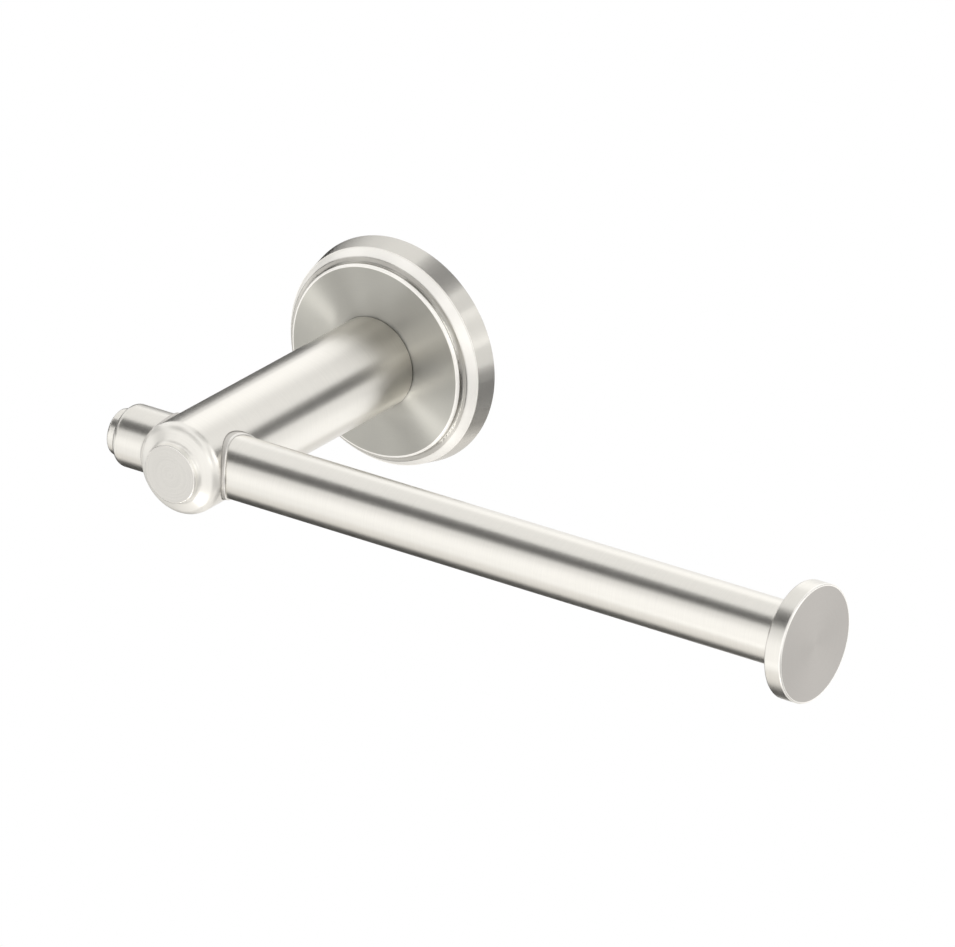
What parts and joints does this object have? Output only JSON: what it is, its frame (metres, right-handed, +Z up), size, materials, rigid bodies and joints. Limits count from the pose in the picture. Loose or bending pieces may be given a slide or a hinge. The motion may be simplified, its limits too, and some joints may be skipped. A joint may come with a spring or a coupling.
{
  "type": "toilet paper holder",
  "caption": "Wall-mounted toilet paper holder: a stepped round rose, a round post and a straight round arm that passes through the post and ends in a flat stop disc.",
  "frame": {"origin": "centre of the rose on the wall plane, midway between the two wall screw holes", "axes": "-Y out of the wall along the post, +X along the arm towards the stop disc, +Z up"},
  "size_m": [0.1756, 0.0799, 0.05],
  "materials": {
    "satin_nickel": "satin brushed nickel plate",
    "plated_steel": "bright zinc plate",
    "screw_steel": "plain stainless steel",
    "bush_brass": "turned brass"
  },
  "bodies": {
    "bracket": {"wall_bracket": "plated_steel"},
    "holder": {"rose": "satin_nickel", "post": "satin_nickel", "post_dowel": "screw_steel", "post_bolt": "screw_steel", "post_lock_washer": "screw_steel", "post_flat_washer": "screw_steel", "arm_tube": "satin_nickel", "arm_end_cap": "satin_nickel", "arm_lock_screw": "screw_steel", "end_bush": "bush_brass", "end_stop_stud": "screw_steel", "end_stop": "satin_nickel"},
    "set_screw": {"rose_set_screw": "screw_steel"}
  },
  "joints": [
    {"name": "holder_turn", "type": "hinge", "parent": "bracket", "child": "holder", "pos_m": [0, 0, 0], "axis": [0, -1, 0], "continuous": true},
    {"name": "set_screw_travel", "type": "slide", "parent": "holder", "child": "set_screw", "axis": [0, 0, -1], "range_m": [0, 0.002]}
  ]
}
